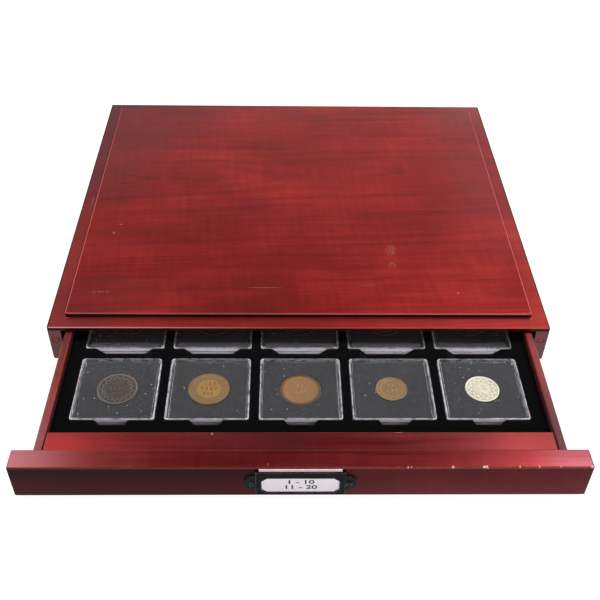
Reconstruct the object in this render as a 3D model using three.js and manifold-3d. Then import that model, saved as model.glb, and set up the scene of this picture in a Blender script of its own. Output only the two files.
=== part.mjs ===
// Coin display case: a flat wooden case with one drawer, open by a third of its depth.
// The drawer holds a flocked tray with pockets for square two-part coin capsules.
// Millimetres, Z up, the drawer opens towards -Y, the case stands on four felt pads.
import * as THREE from 'three';
import { mergeVertices } from 'three/addons/utils/BufferGeometryUtils.js';
import Module from 'manifold-3d';

const wasm = await Module();
wasm.setup();

// Clearances
const seatGap = 0.15;
const slideGap = 0.3;
const overrun = 2;

// Capsule: two clear halves that snap together round a foam insert
const capsuleSize = 50;
const capsuleThickness = 6.25;
const capsuleCorner = 2;
const capsuleEdge = 0.4;
const capsuleRim = 3.2;
const capsulePlate = 1.1;
const capsuleParting = 3.05;
const tongueWidth = 1.5;
const tongueHeight = 0.8;
const seamDepth = 0.4;

// Foam insert and coins, from the left of the front row
const foamGap = 0.2;
const foamHeadroom = 0.65;
const coinDiameters = [24.7, 25.7, 25.6, 19.5, 21];
const coinSeats = [25.1, 26.1, 26, 19.9, 21.4];
const coinThickness = 1.6;
const coinRecesses = [-0.5, -0.5, 0.2, -0.5, -0.5];
const coinRim = 0.9;
const coinField = 0.15;

// Tray
const columns = 5;
const rows = 4;
const pocketClearance = 0.5;
const columnWall = 5.1;
const rowWall = 8.2;
const traySideRim = 8.7;
const trayEndRim = 12.8;
const trayFloor = 5.85;
const pocketDepth = 6.2;
const scoopWidth = 20;
const scoopFloorWidth = 14.6;
const scoopReach = 6.2;
const scoopFloorReach = 4.8;
const scoopDepth = 4.6;
const valleyWidth = 35.5;
const valleyFloorWidth = 25.4;

// Drawer
const drawerOpening = 97.5;
const drawerSideThickness = 4.8;
const drawerBackThickness = 5;
const drawerBottomThickness = 2.5;
const drawerBottomRaise = 2.2;
const grooveDepth = 2;
const trayHeadroom = 5.1;
const railDepth = 14.3;
const railEndGap = 0.5;
const frontThickness = 13.1;
const frontBottomReveal = 2;
const frontTopReveal = 1.4;
const frontEdgeRadius = 1;
const drawerEdgeRadius = 0.7;

// Case
const wallThickness = 8.7;
const backThickness = 9;
const baseThickness = 3;
const baseRebate = 4;
const topBorderThickness = 3.25;
const fieldRise = 2.5;
const fieldBorderSide = 10.2;
const fieldBorderEnd = 10.9;
const fieldCorner = 1.5;
const fieldEdgeRadius = 1.2;
const caseCorner = 0.8;
const caseEdgeRadius = 0.8;
const rearClearance = 2.6;
const guideThickness = 2.5;
const guideHeight = 6;
const guideInset = 12;
const stopHeight = 1.8;
const stopDepth = 8;
const stopLength = 60;
const stopInset = 6;
const plugDiameter = 4.5;
const plugLength = 3;
const plugHeight = 17.4;
const plugSink = 0.2;
const padDiameter = 12;
const padThickness = 1.5;
const padInset = 14;

// Label holder on the drawer front
const labelCentre = -0.8;
const labelBodyWidth = 50.6;
const labelBodyHeight = 20.3;
const labelBottomReveal = 3.05;
const labelFaceThickness = 0.8;
const labelFaceEdge = 0.5;
const cardThickness = 0.5;
const cardSideMargin = 2.15;
const cardStandout = 1.7;
const slotFloor = 0.9;
const windowSideBorder = 3.4;
const windowHeadBorder = 5.55;
const windowRaise = 1.95;
const windowChamferX = 3.2;
const windowChamferZ = 2.6;
const earReach = 6.4;
const earHeight = 11.6;
const earCentre = 10.15;
const screwOffset = 2.2;
const screwHeadDiameter = 3.9;
const screwHeadHeight = 1.1;
const screwShankDiameter = 1.4;
const screwShankLength = 5.5;

// Facets
const cornerSteps = 1;
const edgeSteps = 2;
const coinSteps = 32;
const roundSteps = 24;
const scoopSteps = 20;
const domeSteps = 4;

// Sizes that follow from the ones above
const pocketSize = capsuleSize + 2 * pocketClearance;
const columnPitch = pocketSize + columnWall;
const rowPitch = pocketSize + rowWall;
const trayWidth = columns * pocketSize + (columns - 1) * columnWall + 2 * traySideRim;
const trayLength = rows * pocketSize + (rows - 1) * rowWall + 2 * trayEndRim;
const trayHeight = trayFloor + pocketDepth;

const drawerInnerWidth = trayWidth + 2 * slideGap;
const drawerWidth = drawerInnerWidth + 2 * drawerSideThickness;
const trayFront = railDepth + slideGap;
const drawerBackFront = trayFront + trayLength + slideGap;
const drawerLength = drawerBackFront + drawerBackThickness;
const drawerFloor = drawerBottomRaise + drawerBottomThickness + seatGap;
const drawerSideHeight = drawerFloor + trayHeight + trayHeadroom;
const drawerBase = baseThickness + slideGap;

const innerWidth = drawerWidth + 2 * (guideThickness + slideGap);
const caseWidth = innerWidth + 2 * wallThickness;
const innerDepth = slideGap + drawerLength + rearClearance;
const caseDepth = innerDepth + backThickness;
const wallHeight = drawerBase + drawerSideHeight + slideGap;
const topUnderside = wallHeight + seatGap;
const caseHeight = topUnderside + topBorderThickness;
const baseWidth = innerWidth + 2 * (baseRebate - seatGap);

const frontHeight = caseHeight - frontBottomReveal - frontTopReveal;
const labelPlateThickness = cardThickness + 2 * seatGap;
const cardWidth = labelBodyWidth - 2 * cardSideMargin;
const windowWidth = labelBodyWidth - 2 * windowSideBorder;
const windowHeight = labelBodyHeight - windowRaise - windowHeadBorder;
const screwSpacing = labelBodyWidth + 2 * screwOffset;
const labelReach = seatGap + labelPlateThickness + labelFaceThickness;
const earThickness = labelPlateThickness + labelFaceThickness / 2;
const screwReach = 2 * seatGap + earThickness + screwHeadHeight;
const frontmost = drawerOpening + frontThickness + Math.max(labelReach, screwReach);

// Materials
function finish(color, roughness, metalness) {
  return new THREE.MeshStandardMaterial({ color, roughness, metalness });
}

const topWood = finish('#7e1a18', 0.35, 0);
const frontWood = finish('#5c1517', 0.4, 0);
const drawerWood = finish('#7d2a28', 0.5, 0);
const panelWood = finish('#8b6a4c', 0.7, 0);
const flock = finish('#0b0b0d', 1, 0);
const felt = finish('#1c1c1e', 1, 0);
const clearPlastic = finish('#dfe3e6', 0.1, 0);
const foam = finish('#47464a', 0.95, 0);
const darkBronze = finish('#5a4b3c', 0.5, 0.8);
const goldBronze = finish('#a07a42', 0.45, 0.8);
const brownBronze = finish('#7a5238', 0.5, 0.8);
const lightBronze = finish('#95703f', 0.45, 0.8);
const silver = finish('#c4c6c8', 0.35, 0.9);
const blackMetal = finish('#17171a', 0.45, 0.7);
const cardPaper = finish('#ecdde4', 0.8, 0);

// A box between two corners
function boxBetween(x0, x1, y0, y1, z0, z1) {
  const geometry = new THREE.BoxGeometry(x1 - x0, y1 - y0, z1 - z0);
  geometry.translate((x0 + x1) / 2, (y0 + y1) / 2, (z0 + z1) / 2);
  return geometry;
}

// A rectangle about the origin with rounded corners
function roundedRectangle(width, depth, radius) {
  const x = width / 2;
  const y = depth / 2;
  const shape = new THREE.Shape();
  if (radius === 0) {
    shape.moveTo(-x, -y);
    shape.lineTo(x, -y);
    shape.lineTo(x, y);
    shape.lineTo(-x, y);
    return shape;
  }
  shape.absarc(x - radius, -y + radius, radius, -Math.PI / 2, 0);
  shape.absarc(x - radius, y - radius, radius, 0, Math.PI / 2);
  shape.absarc(-x + radius, y - radius, radius, Math.PI / 2, Math.PI);
  shape.absarc(-x + radius, -y + radius, radius, Math.PI, 3 * Math.PI / 2);
  return shape;
}

// An upright plate between two heights, its long edges rounded by an edge radius
function plate(width, depth, radius, z0, z1, edge = 0) {
  const geometry = new THREE.ExtrudeGeometry(roundedRectangle(width, depth, radius), {
    depth: z1 - z0 - 2 * edge,
    bevelEnabled: edge > 0,
    bevelThickness: edge,
    bevelSize: edge,
    bevelOffset: -edge,
    bevelSegments: edgeSteps,
    curveSegments: cornerSteps,
  });
  geometry.translate(0, 0, z0 + edge);
  return geometry;
}

// A profile of X and Z, run along Y from y0 to y1
function runAlongY(shape, y0, y1) {
  const geometry = new THREE.ExtrudeGeometry(shape, {
    depth: y1 - y0,
    bevelEnabled: false,
    curveSegments: edgeSteps,
  });
  geometry.rotateX(Math.PI / 2);
  geometry.translate(0, y1, 0);
  return geometry;
}

// A profile of Y and Z, run along X from x0 to x1
function runAlongX(shape, x0, x1) {
  const geometry = new THREE.ExtrudeGeometry(shape, {
    depth: x1 - x0,
    bevelEnabled: false,
    curveSegments: edgeSteps,
  });
  geometry.rotateX(Math.PI / 2);
  geometry.rotateZ(Math.PI / 2);
  geometry.translate(x0, 0, 0);
  return geometry;
}

// A rod along Y from y0 to y1, about a place in X and Z
function rodAlongY(diameter, x, z, y0, y1, steps) {
  const geometry = new THREE.CylinderGeometry(diameter / 2, diameter / 2, y1 - y0, steps);
  geometry.translate(x, (y0 + y1) / 2, z);
  return geometry;
}

// An upright disc from z0 to z1
function disc(diameter, z0, z1, steps) {
  const geometry = new THREE.CylinderGeometry(diameter / 2, diameter / 2, z1 - z0, steps);
  geometry.rotateX(Math.PI / 2);
  geometry.translate(0, 0, (z0 + z1) / 2);
  return geometry;
}

function solid(geometry) {
  const bare = geometry.clone();
  bare.deleteAttribute('normal');
  bare.deleteAttribute('uv');
  const merged = mergeVertices(bare);
  return new wasm.Manifold(new wasm.Mesh({
    numProp: 3,
    vertProperties: new Float32Array(merged.attributes.position.array),
    triVerts: new Uint32Array(merged.index.array),
  }));
}

function join(...geometries) {
  return geometries.map(solid).reduce((whole, piece) => whole.add(piece));
}

function surface(manifold) {
  const mesh = manifold.getMesh();
  const geometry = new THREE.BufferGeometry();
  geometry.setAttribute('position', new THREE.BufferAttribute(mesh.vertProperties, mesh.numProp));
  geometry.setIndex(new THREE.BufferAttribute(mesh.triVerts, 1));
  geometry.computeVertexNormals();
  return geometry;
}

function piece(name, geometry, material, x = 0, y = 0, z = 0) {
  const mesh = new THREE.Mesh(geometry, material);
  mesh.name = name;
  mesh.position.set(x, y, z);
  return mesh;
}

// Case top: a border board with a raised field, both rounded on their upper edges
function caseTop() {
  const middle = caseDepth / 2;
  const borderTop = caseHeight;
  const fieldTop = caseHeight + fieldRise;
  const fieldWidth = caseWidth - 2 * fieldBorderSide;
  const fieldDepth = caseDepth - 2 * fieldBorderEnd;
  const squareBoard = plate(caseWidth, caseDepth, caseCorner, topUnderside, borderTop - caseEdgeRadius);
  const roundBoard = plate(caseWidth, caseDepth, caseCorner, topUnderside, borderTop, caseEdgeRadius);
  const field = plate(fieldWidth, fieldDepth, fieldCorner, topUnderside, fieldTop, fieldEdgeRadius);
  const board = surface(join(squareBoard, roundBoard, field));
  return piece('case_top', board, topWood, 0, middle, 0);
}

// Case side: a board with a rebate for the base and a plugged hole in its front end
function caseSide(name, side) {
  const outer = caseWidth / 2;
  const inner = innerWidth / 2;
  const ledge = inner + baseRebate;
  const profile = new THREE.Shape();
  profile.moveTo(side * ledge, 0);
  profile.lineTo(side * (outer - caseEdgeRadius), 0);
  profile.lineTo(side * outer, caseEdgeRadius);
  profile.lineTo(side * outer, wallHeight);
  profile.lineTo(side * inner, wallHeight);
  profile.lineTo(side * inner, baseThickness + seatGap);
  profile.lineTo(side * ledge, baseThickness + seatGap);
  const board = solid(runAlongY(profile, 0, caseDepth));
  const middle = side * (outer - wallThickness / 2);
  const holeDepth = plugSink + plugLength + seatGap;
  const holeDiameter = plugDiameter + 2 * seatGap;
  const hole = solid(rodAlongY(holeDiameter, middle, plugHeight, -overrun, holeDepth, roundSteps));
  return piece(name, surface(board.subtract(hole)), frontWood);
}

function plug(name, side) {
  const middle = side * (caseWidth / 2 - wallThickness / 2);
  const rod = rodAlongY(plugDiameter, middle, plugHeight, plugSink, plugSink + plugLength, roundSteps);
  return piece(name, rod, drawerWood);
}

function caseBack() {
  const reach = innerWidth / 2 - seatGap;
  return piece('case_back', boxBetween(-reach, reach, innerDepth, caseDepth, 0, wallHeight), frontWood);
}

function caseBottom() {
  const reach = baseWidth / 2;
  const board = boxBetween(-reach, reach, 0, innerDepth - seatGap, 0, baseThickness);
  return piece('case_bottom', board, panelWood);
}

// Guide strip on the inner face of a case side, which keeps the drawer central
function guide(name, side) {
  const outer = innerWidth / 2 - seatGap;
  const inner = innerWidth / 2 - guideThickness;
  const foot = baseThickness + seatGap;
  const profile = new THREE.Shape();
  profile.moveTo(side * inner, foot);
  profile.lineTo(side * outer, foot);
  profile.lineTo(side * outer, foot + guideHeight);
  profile.lineTo(side * (inner + drawerEdgeRadius), foot + guideHeight);
  profile.lineTo(side * inner, foot + guideHeight - drawerEdgeRadius);
  return piece(name, runAlongY(profile, guideInset, innerDepth - guideInset), panelWood);
}

// Stop block on the base, which the drawer's back meets at full travel
function drawerStop() {
  const foot = baseThickness + seatGap;
  const back = stopInset + stopDepth;
  const block = boxBetween(-stopLength / 2, stopLength / 2, stopInset, back, foot, foot + stopHeight);
  return piece('drawer_stop', block, panelWood);
}

function pads() {
  const x = caseWidth / 2 - padInset;
  const corners = [[-x, padInset], [x, padInset], [-x, caseDepth - padInset], [x, caseDepth - padInset]];
  const flat = disc(padDiameter, -padThickness - seatGap, -seatGap, roundSteps);
  return corners.map(([px, py], index) => piece(`foot_pad_${index + 1}`, flat, felt, px, py, 0));
}

// A board's section with all four edges rounded, from y0 to y1 and z0 to z1
function roundedSection(y0, y1, z0, z1, radius) {
  const section = roundedRectangle(y1 - y0, z1 - z0, radius);
  const points = section.getPoints(edgeSteps);
  const moved = points.map((point) => new THREE.Vector2(point.x + (y0 + y1) / 2, point.y + (z0 + z1) / 2));
  return new THREE.Shape(moved);
}

// Drawer front: as wide as the case, with pilot holes for the label holder's screws
function drawerFront() {
  const section = roundedSection(-frontThickness, 0, frontBottomReveal, frontBottomReveal + frontHeight,
    frontEdgeRadius);
  const board = solid(runAlongX(section, -caseWidth / 2, caseWidth / 2));
  const pilots = [-1, 1].map((side) => solid(rodAlongY(
    screwShankDiameter + 2 * seatGap,
    labelCentre + side * screwSpacing / 2,
    frontBottomReveal + labelBottomReveal + earCentre,
    -frontThickness - overrun,
    -frontThickness + screwShankLength,
    roundSteps,
  )));
  return piece('drawer_front', surface(pilots.reduce((rest, pilot) => rest.subtract(pilot), board)), frontWood);
}

// Inner rail behind the drawer front, clear of the stop block below it
function drawerRail() {
  const reach = drawerInnerWidth / 2 - railEndGap;
  const foot = drawerBase + drawerBottomRaise;
  const head = drawerBase + drawerSideHeight;
  const section = roundedSection(seatGap, railDepth, foot, head, drawerEdgeRadius);
  return piece('drawer_rail', runAlongX(section, -reach, reach), drawerWood);
}

// Drawer side with a groove for the bottom panel
function drawerSide(name, side) {
  const outer = drawerWidth / 2;
  const inner = drawerInnerWidth / 2;
  const foot = drawerBase;
  const head = drawerBase + drawerSideHeight;
  const grooveFoot = foot + drawerBottomRaise - seatGap;
  const grooveHead = foot + drawerBottomRaise + drawerBottomThickness + seatGap;
  const profile = new THREE.Shape();
  profile.moveTo(side * inner, foot);
  profile.lineTo(side * outer, foot);
  profile.lineTo(side * outer, head - drawerEdgeRadius);
  profile.lineTo(side * (outer - drawerEdgeRadius), head);
  profile.lineTo(side * (inner + drawerEdgeRadius), head);
  profile.lineTo(side * inner, head - drawerEdgeRadius);
  profile.lineTo(side * inner, grooveHead);
  profile.lineTo(side * (inner + grooveDepth), grooveHead);
  profile.lineTo(side * (inner + grooveDepth), grooveFoot);
  profile.lineTo(side * inner, grooveFoot);
  return piece(name, runAlongY(profile, seatGap, drawerLength), drawerWood);
}

function drawerBack() {
  const reach = drawerInnerWidth / 2 - seatGap;
  const section = roundedSection(drawerBackFront, drawerLength, drawerBase, drawerBase + drawerSideHeight,
    drawerEdgeRadius);
  return piece('drawer_back', runAlongX(section, -reach, reach), drawerWood);
}

function drawerBottom() {
  const reach = drawerInnerWidth / 2 + grooveDepth - seatGap;
  const foot = drawerBase + drawerBottomRaise;
  const front = railDepth + seatGap;
  const back = drawerBackFront - seatGap;
  const panel = boxBetween(-reach, reach, front, back, foot, foot + drawerBottomThickness);
  return piece('drawer_bottom', panel, panelWood);
}

// The middle of a pocket, from the tray's own front left corner at its centre line
function pocketCentre(column, row) {
  const x = (column - (columns - 1) / 2) * columnPitch;
  const y = trayEndRim + pocketSize / 2 + row * rowPitch;
  return [x, y];
}

// Finger scoop in the front rim: a half dish that narrows to its floor
function scoop(x, y) {
  const height = scoopDepth + overrun;
  const slope = height / scoopDepth;
  const floorRadius = scoopFloorWidth / 2;
  const topRadius = floorRadius + (scoopWidth / 2 - floorRadius) * slope;
  const dish = new THREE.CylinderGeometry(topRadius, floorRadius, height, scoopSteps);
  dish.rotateX(Math.PI / 2);
  dish.scale(1, (scoopReach + scoopFloorReach) / (scoopWidth / 2 + floorRadius), 1);
  dish.translate(x, y, trayHeight - scoopDepth + height / 2);
  return solid(dish);
}

// Valley across the wall between two rows of pockets
function valley(x, y) {
  const rise = (scoopDepth + overrun) / scoopDepth;
  const floorReach = valleyFloorWidth / 2;
  const topReach = floorReach + (valleyWidth / 2 - floorReach) * rise;
  const floor = trayHeight - scoopDepth;
  const profile = new THREE.Shape();
  profile.moveTo(x - floorReach, floor);
  profile.lineTo(x + floorReach, floor);
  profile.lineTo(x + topReach, trayHeight + overrun);
  profile.lineTo(x - topReach, trayHeight + overrun);
  return solid(runAlongY(profile, y - rowWall / 2 - overrun, y + rowWall / 2 + overrun));
}

// Flocked tray: a block with a pocket for each capsule, scoops at the front and valleys between rows
function tray() {
  const half = trayWidth / 2;
  const pocketHalf = pocketSize / 2;
  let block = solid(boxBetween(-half, half, 0, trayLength, 0, trayHeight));
  for (let column = 0; column < columns; column += 1) {
    for (let row = 0; row < rows; row += 1) {
      const [x, y] = pocketCentre(column, row);
      const hollow = boxBetween(x - pocketHalf, x + pocketHalf, y - pocketHalf, y + pocketHalf,
        trayFloor, trayHeight + overrun);
      block = block.subtract(solid(hollow));
      const front = y - pocketHalf;
      block = block.subtract(row === 0 ? scoop(x, front) : valley(x, front - rowWall / 2));
    }
  }
  return piece('tray', surface(block), flock, 0, trayFront, drawerBase + drawerFloor);
}

// Lower half of a capsule: a dish whose rim carries a tongue
function capsuleBase(name) {
  const inner = capsuleSize - 2 * capsuleRim;
  const tongue = inner + 2 * tongueWidth;
  const rimBody = plate(capsuleSize, capsuleSize, capsuleCorner, 0, capsuleParting - capsuleEdge, capsuleEdge);
  const rimTop = plate(capsuleSize, capsuleSize, capsuleCorner, capsuleEdge, capsuleParting);
  const tongueBlock = plate(tongue, tongue, capsuleEdge, capsuleEdge, capsuleParting + tongueHeight);
  const hollow = solid(plate(inner, inner, 0, capsulePlate, capsuleThickness));
  return piece(name, surface(join(rimBody, rimTop, tongueBlock).subtract(hollow)), clearPlastic);
}

// Upper half of a capsule: a window plate whose rim is rebated for the tongue
function capsuleLid(name) {
  const inner = capsuleSize - 2 * capsuleRim;
  const rebate = inner + 2 * (tongueWidth + seatGap);
  const foot = capsuleParting + seatGap;
  const rimFoot = plate(capsuleSize, capsuleSize, capsuleCorner, foot, capsuleThickness - capsuleEdge);
  const rimBody = plate(capsuleSize, capsuleSize, capsuleCorner, foot, capsuleThickness, capsuleEdge);
  const rebateHead = capsuleParting + tongueHeight + seatGap;
  const tongueRoom = solid(plate(rebate, rebate, capsuleEdge, 0, rebateHead));
  const hollow = solid(plate(inner, inner, 0, 0, capsuleThickness - capsulePlate));
  return piece(name, surface(join(rimFoot, rimBody).subtract(tongueRoom).subtract(hollow)), clearPlastic);
}

// A closed capsule as one solid, with the seam between its halves
function closedCapsule(name) {
  const foot = capsuleParting + seatGap;
  const waist = capsuleSize - 2 * seamDepth;
  const lower = plate(capsuleSize, capsuleSize, capsuleCorner, 0, capsuleParting);
  const upper = plate(capsuleSize, capsuleSize, capsuleCorner, foot, capsuleThickness);
  const core = plate(waist, waist, capsuleCorner - seamDepth, seamDepth, capsuleThickness - seamDepth);
  return piece(name, surface(join(lower, core, upper)), clearPlastic);
}

// Foam insert with a round seat for its coin
function foamInsert(name, index) {
  const size = capsuleSize - 2 * capsuleRim - 2 * foamGap;
  const foot = capsulePlate + seatGap;
  const head = capsuleThickness - capsulePlate - foamHeadroom;
  const seatFloor = head - coinRecesses[index] - coinThickness - seatGap;
  const seat = solid(disc(coinSeats[index], seatFloor, capsuleThickness, coinSteps));
  return piece(name, surface(solid(plate(size, size, 0, foot, head)).subtract(seat)), foam);
}

// Coin with a raised rim on both faces
function coin(name, index, material) {
  const radius = coinDiameters[index] / 2;
  const rimInner = radius - coinRim;
  const profile = [
    new THREE.Vector2(0, coinField),
    new THREE.Vector2(rimInner - coinField, coinField),
    new THREE.Vector2(rimInner, 0),
    new THREE.Vector2(radius, 0),
    new THREE.Vector2(radius, coinThickness),
    new THREE.Vector2(rimInner, coinThickness),
    new THREE.Vector2(rimInner - coinField, coinThickness - coinField),
    new THREE.Vector2(0, coinThickness - coinField),
  ];
  const disk = new THREE.LatheGeometry(profile, coinSteps);
  disk.rotateX(Math.PI / 2);
  const head = capsuleThickness - capsulePlate - foamHeadroom;
  return piece(name, disk, material, 0, 0, head - coinRecesses[index] - coinThickness);
}

// Label holder: a plate with two ears, and a raised face with a window over the card slot
function labelFrame() {
  const half = labelBodyWidth / 2;
  const slotHalf = cardWidth / 2 + slideGap;
  const plateFront = -frontThickness - seatGap;
  const faceBack = plateFront - labelPlateThickness;
  const outline = new THREE.Shape();
  outline.moveTo(-half, 0);
  outline.lineTo(half, 0);
  outline.lineTo(half, earCentre - earHeight / 2);
  outline.absellipse(half, earCentre, earReach, earHeight / 2, -Math.PI / 2, Math.PI / 2);
  outline.lineTo(half, labelBodyHeight);
  outline.lineTo(slotHalf, labelBodyHeight);
  outline.lineTo(slotHalf, slotFloor);
  outline.lineTo(-slotHalf, slotFloor);
  outline.lineTo(-slotHalf, labelBodyHeight);
  outline.lineTo(-half, labelBodyHeight);
  outline.lineTo(-half, earCentre + earHeight / 2);
  outline.absellipse(-half, earCentre, earReach, earHeight / 2, Math.PI / 2, 3 * Math.PI / 2);
  const backPlate = new THREE.ExtrudeGeometry(outline, {
    depth: earThickness,
    bevelEnabled: false,
    curveSegments: domeSteps + edgeSteps,
  });
  backPlate.rotateX(Math.PI / 2);
  backPlate.translate(0, plateFront, 0);

  const windowHalf = windowWidth / 2;
  const windowTop = windowRaise + windowHeight;
  const opening = new THREE.Path();
  opening.moveTo(-windowHalf + windowChamferX, windowRaise);
  opening.lineTo(windowHalf - windowChamferX, windowRaise);
  opening.lineTo(windowHalf, windowRaise + windowChamferZ);
  opening.lineTo(windowHalf, windowTop - windowChamferZ);
  opening.lineTo(windowHalf - windowChamferX, windowTop);
  opening.lineTo(-windowHalf + windowChamferX, windowTop);
  opening.lineTo(-windowHalf, windowTop - windowChamferZ);
  opening.lineTo(-windowHalf, windowRaise + windowChamferZ);
  const face = new THREE.Shape();
  face.moveTo(-half, 0);
  face.lineTo(half, 0);
  face.lineTo(half, labelBodyHeight);
  face.lineTo(-half, labelBodyHeight);
  face.holes.push(opening);
  const facePlate = new THREE.ExtrudeGeometry(face, {
    depth: labelFaceThickness - labelFaceEdge / 2,
    bevelEnabled: false,
  });
  facePlate.rotateX(Math.PI / 2);
  facePlate.translate(0, faceBack, 0);
  const faceCap = new THREE.ExtrudeGeometry(face, {
    depth: labelFaceThickness - labelFaceEdge,
    bevelEnabled: true,
    bevelThickness: labelFaceEdge / 2,
    bevelSize: labelFaceEdge,
    bevelOffset: -labelFaceEdge,
    bevelSegments: 1,
  });
  faceCap.rotateX(Math.PI / 2);
  faceCap.translate(0, faceBack - labelFaceEdge / 2, 0);

  const bodyRoom = solid(boxBetween(-slotHalf, slotHalf, faceBack, plateFront + overrun, slotFloor,
    labelBodyHeight + overrun));
  let frame = join(backPlate, facePlate, faceCap).subtract(bodyRoom);
  [-1, 1].forEach((side) => {
    const hole = rodAlongY(screwShankDiameter + 2 * seatGap, side * screwSpacing / 2, earCentre,
      faceBack - overrun, plateFront + overrun, roundSteps);
    frame = frame.subtract(solid(hole));
  });
  return piece('label_frame', surface(frame), blackMetal, labelCentre, 0, frontBottomReveal + labelBottomReveal);
}

function labelCard() {
  const back = -frontThickness - 2 * seatGap;
  const foot = frontBottomReveal + labelBottomReveal + slotFloor + seatGap;
  const head = frontBottomReveal + labelBottomReveal + labelBodyHeight + cardStandout;
  const half = cardWidth / 2;
  const card = boxBetween(labelCentre - half, labelCentre + half, back - cardThickness, back, foot, head);
  return piece('label_card', card, cardPaper);
}

// Round head screw, its head on the ear and its shank in the drawer front
function labelScrew(name, side) {
  const headBase = -frontThickness - 2 * seatGap - earThickness;
  const headRadius = screwHeadDiameter / 2;
  const shankRadius = screwShankDiameter / 2;
  const profile = [
    new THREE.Vector2(0, -screwShankLength),
    new THREE.Vector2(shankRadius, -screwShankLength),
    new THREE.Vector2(shankRadius, 0),
  ];
  for (let step = 0; step <= domeSteps; step += 1) {
    const angle = Math.PI / 2 * step / domeSteps;
    profile.push(new THREE.Vector2(headRadius * Math.cos(angle), screwHeadHeight * Math.sin(angle)));
  }
  profile[profile.length - 1].x = 0;
  const screw = new THREE.LatheGeometry(profile, roundSteps / 2);
  screw.rotateX(Math.PI);
  const x = labelCentre + side * screwSpacing / 2;
  const z = frontBottomReveal + labelBottomReveal + earCentre;
  return piece(name, screw, blackMetal, x, headBase, z);
}

// Where a capsule lies in its pocket
function placeCapsule(group, column, row) {
  const [x, y] = pocketCentre(column, row);
  group.position.set(x, trayFront + y, drawerBase + drawerFloor + trayFloor + seatGap);
  return group;
}

const display = new THREE.Group();
display.position.set(0, (frontmost - caseDepth) / 2, padThickness + seatGap);

display.add(caseTop());
display.add(caseSide('case_side_left', -1));
display.add(caseSide('case_side_right', 1));
display.add(plug('plug_left', -1));
display.add(plug('plug_right', 1));
display.add(caseBack());
display.add(caseBottom());
display.add(guide('drawer_guide_left', -1));
display.add(guide('drawer_guide_right', 1));
display.add(drawerStop());
pads().forEach((pad) => display.add(pad));

const drawer = new THREE.Group();
drawer.position.y = -drawerOpening;
drawer.add(drawerFront());
drawer.add(drawerRail());
drawer.add(drawerSide('drawer_side_left', -1));
drawer.add(drawerSide('drawer_side_right', 1));
drawer.add(drawerBack());
drawer.add(drawerBottom());
drawer.add(tray());
drawer.add(labelFrame());
drawer.add(labelCard());
drawer.add(labelScrew('label_screw_left', -1));
drawer.add(labelScrew('label_screw_right', 1));

const coinMaterials = [darkBronze, goldBronze, brownBronze, lightBronze, silver];
for (let column = 0; column < columns; column += 1) {
  const front = new THREE.Group();
  const number = column + 1;
  const kind = column % coinMaterials.length;
  front.add(capsuleBase(`capsule_base_${number}`));
  front.add(capsuleLid(`capsule_lid_${number}`));
  front.add(foamInsert(`foam_insert_${number}`, kind));
  front.add(coin(`coin_${number}`, kind, coinMaterials[kind]));
  drawer.add(placeCapsule(front, column, 0));
  for (let row = 1; row < rows; row += 1) {
    const closed = new THREE.Group();
    closed.add(closedCapsule(`capsule_row${row + 1}_${number}`));
    drawer.add(placeCapsule(closed, column, row));
  }
}
display.add(drawer);

export default display;
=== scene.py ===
import math
from functools import partial

import bmesh
import bpy
from mathutils import Matrix, Vector


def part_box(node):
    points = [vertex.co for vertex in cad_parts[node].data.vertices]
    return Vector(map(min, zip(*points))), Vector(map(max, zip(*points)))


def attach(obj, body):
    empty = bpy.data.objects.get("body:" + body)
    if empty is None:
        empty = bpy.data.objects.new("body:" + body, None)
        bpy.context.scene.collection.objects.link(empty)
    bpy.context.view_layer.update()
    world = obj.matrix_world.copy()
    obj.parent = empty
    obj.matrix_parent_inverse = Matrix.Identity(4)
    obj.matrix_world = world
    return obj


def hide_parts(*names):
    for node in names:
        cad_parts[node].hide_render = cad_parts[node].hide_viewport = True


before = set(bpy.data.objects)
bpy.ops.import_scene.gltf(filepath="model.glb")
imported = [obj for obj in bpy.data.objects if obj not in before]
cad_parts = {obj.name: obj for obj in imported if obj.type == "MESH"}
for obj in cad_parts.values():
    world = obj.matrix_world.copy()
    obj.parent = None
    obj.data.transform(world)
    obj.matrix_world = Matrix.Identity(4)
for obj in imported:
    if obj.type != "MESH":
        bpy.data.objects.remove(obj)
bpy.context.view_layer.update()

MM = 0.001
CASE_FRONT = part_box("case_top")[0].y
MARK_FRONT = -87.05  # y of the case front in the finishes' own measure, in millimetres
CAPSULE_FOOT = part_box("capsule_base_1")[0].z / MM
ARRIS = "arris"  # face attribute: how worn, bright or toned a face is


# Finishes: shader maths and procedural nodes. Places are in millimetres and noise scales per millimetre.

def tone(code):
    """Linear colour of a six-figure colour code."""
    shares = [int(code[i:i + 2], 16) / 255 for i in (0, 2, 4)]
    linear = [s / 12.92 if s <= 0.04045 else ((s + 0.055) / 1.055) ** 2.4 for s in shares]
    return (*linear, 1.0)


class Level:
    """A value that changes over a surface: one node's output, with the usual operators."""

    def __init__(self, finish, socket):
        self.finish = finish
        self.socket = socket

    def math(self, operation, *values, clamp=False):
        settings = {"operation": operation, "use_clamp": clamp}
        return self.finish.node("ShaderNodeMath", settings, dict(enumerate(values)))

    def __add__(self, other):
        return self.math("ADD", self, other)

    def __sub__(self, other):
        return self.math("SUBTRACT", self, other)

    def __rsub__(self, other):
        return self.math("SUBTRACT", other, self)

    def __mul__(self, other):
        return self.math("MULTIPLY", self, other)

    def __truediv__(self, other):
        return self.math("DIVIDE", self, other)

    def __rtruediv__(self, other):
        return self.math("DIVIDE", other, self)

    __radd__ = __add__
    __rmul__ = __mul__

    def least(self, other):
        return self.math("MINIMUM", self, other)

    def most(self, other):
        return self.math("MAXIMUM", self, other)

    def root(self):
        return self.math("SQRT", self)

    def sine(self):
        return self.math("SINE", self)

    def clamped(self):
        return self.math("ADD", self, 0.0, clamp=True)


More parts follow.
